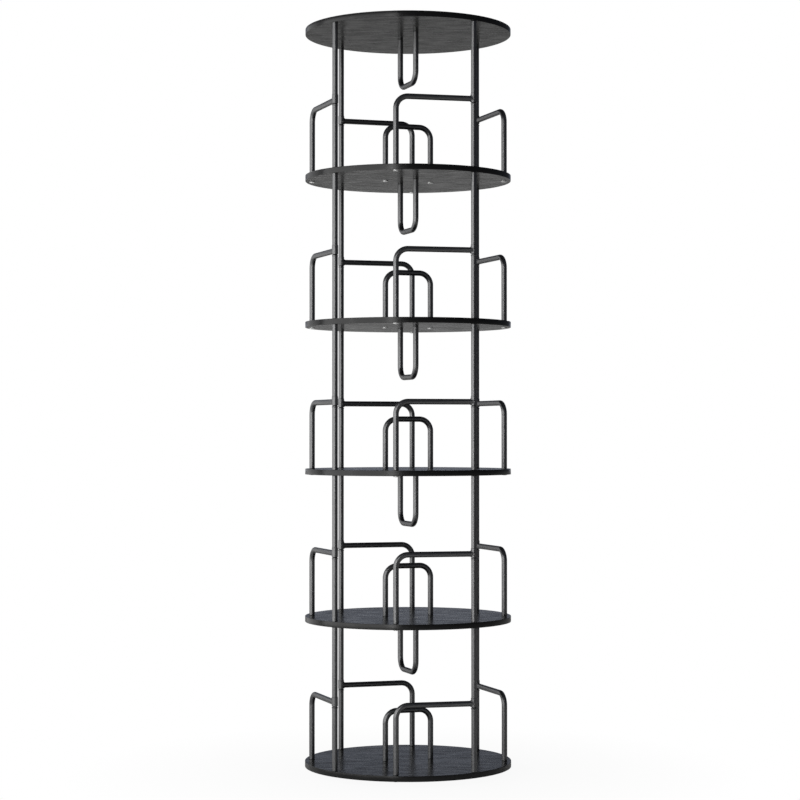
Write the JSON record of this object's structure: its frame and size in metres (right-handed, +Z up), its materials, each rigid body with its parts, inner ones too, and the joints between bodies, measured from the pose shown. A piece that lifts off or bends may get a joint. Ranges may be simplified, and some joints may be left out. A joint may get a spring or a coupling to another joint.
{
  "type": "revolving bookcase",
  "caption": "Tall round bookcase: boards on columns of bent-rod side frames, which turn together on a ring bearing hidden under the lowest board.",
  "frame": {"origin": "on the floor, under the axis that the bookcase turns on", "axes": "+Z up along the turning axis, +Y away from the viewer of the picture, +X to the viewer's right"},
  "size_m": [0.45, 0.45, 1.6215],
  "materials": {
    "board_laminate": "black wood-grain laminate on board, semi-gloss",
    "rod_powder_coat": "black powder coat, satin",
    "zinc_plate": "bright zinc plate",
    "bearing_aluminium": "turned, satin",
    "cage_nylon": "moulded nylon, natural",
    "foot_rubber": "moulded rubber, matt"
  },
  "bodies": {
    "base": {"bearing_base_ring": "bearing_aluminium", "rubber_pad_1": "foot_rubber", "rubber_pad_2": "foot_rubber", "rubber_pad_3": "foot_rubber", "rubber_pad_4": "foot_rubber", "rubber_pad_5": "foot_rubber", "rubber_pad_6": "foot_rubber"},
    "ball_cage": {"bearing_ball_cage": "cage_nylon"},
    "tower": {"bearing_top_ring": "bearing_aluminium", "ring_screw_1": "zinc_plate", "ring_screw_2": "zinc_plate", "ring_screw_3": "zinc_plate", "ring_screw_4": "zinc_plate", "bottom_bolt_front_left": "zinc_plate", "bottom_bolt_front_right": "zinc_plate", "bottom_bolt_back_right": "zinc_plate", "bottom_bolt_back_left": "zinc_plate", "shelf_board_1": "board_laminate", "side_frame_1_front_left": "rod_powder_coat", "side_frame_1_front_right": "rod_powder_coat", "side_frame_1_back_right": "rod_powder_coat", "side_frame_1_back_left": "rod_powder_coat", "standing_divider_1": "rod_powder_coat", "hanging_divider_1": "rod_powder_coat", "shelf_board_2": "board_laminate", "side_frame_2_front_left": "rod_powder_coat", "side_frame_2_front_right": "rod_powder_coat", "side_frame_2_back_right": "rod_powder_coat", "side_frame_2_back_left": "rod_powder_coat", "standing_divider_2": "rod_powder_coat", "hanging_divider_2": "rod_powder_coat", "shelf_board_3": "board_laminate", "side_frame_3_front_left": "rod_powder_coat", "side_frame_3_front_right": "rod_powder_coat", "side_frame_3_back_right": "rod_powder_coat", "side_frame_3_back_left": "rod_powder_coat", "standing_divider_3": "rod_powder_coat", "hanging_divider_3": "rod_powder_coat", "shelf_board_4": "board_laminate", "side_frame_4_front_left": "rod_powder_coat", "side_frame_4_front_right": "rod_powder_coat", "side_frame_4_back_right": "rod_powder_coat", "side_frame_4_back_left": "rod_powder_coat", "standing_divider_4": "rod_powder_coat", "hanging_divider_4": "rod_powder_coat", "shelf_board_5": "board_laminate", "side_frame_5_front_left": "rod_powder_coat", "side_frame_5_front_right": "rod_powder_coat", "side_frame_5_back_right": "rod_powder_coat", "side_frame_5_back_left": "rod_powder_coat", "standing_divider_5": "rod_powder_coat", "hanging_divider_5": "rod_powder_coat", "top_board": "board_laminate", "top_bolt_front_left": "zinc_plate", "top_bolt_front_right": "zinc_plate", "top_bolt_back_right": "zinc_plate", "top_bolt_back_left": "zinc_plate"}
  },
  "joints": [
    {"name": "tower_spin", "type": "hinge", "parent": "base", "child": "tower", "pos_m": [0, 0, 0.0072], "axis": [0, 0, 1], "continuous": true},
    {"name": "cage_spin", "type": "hinge", "parent": "base", "child": "ball_cage", "pos_m": [0, 0, 0.0072], "axis": [0, 0, 1], "continuous": true}
  ],
  "couplings": [
    {"joint": "cage_spin", "follows": "tower_spin", "ratio": 0.5}
  ]
}
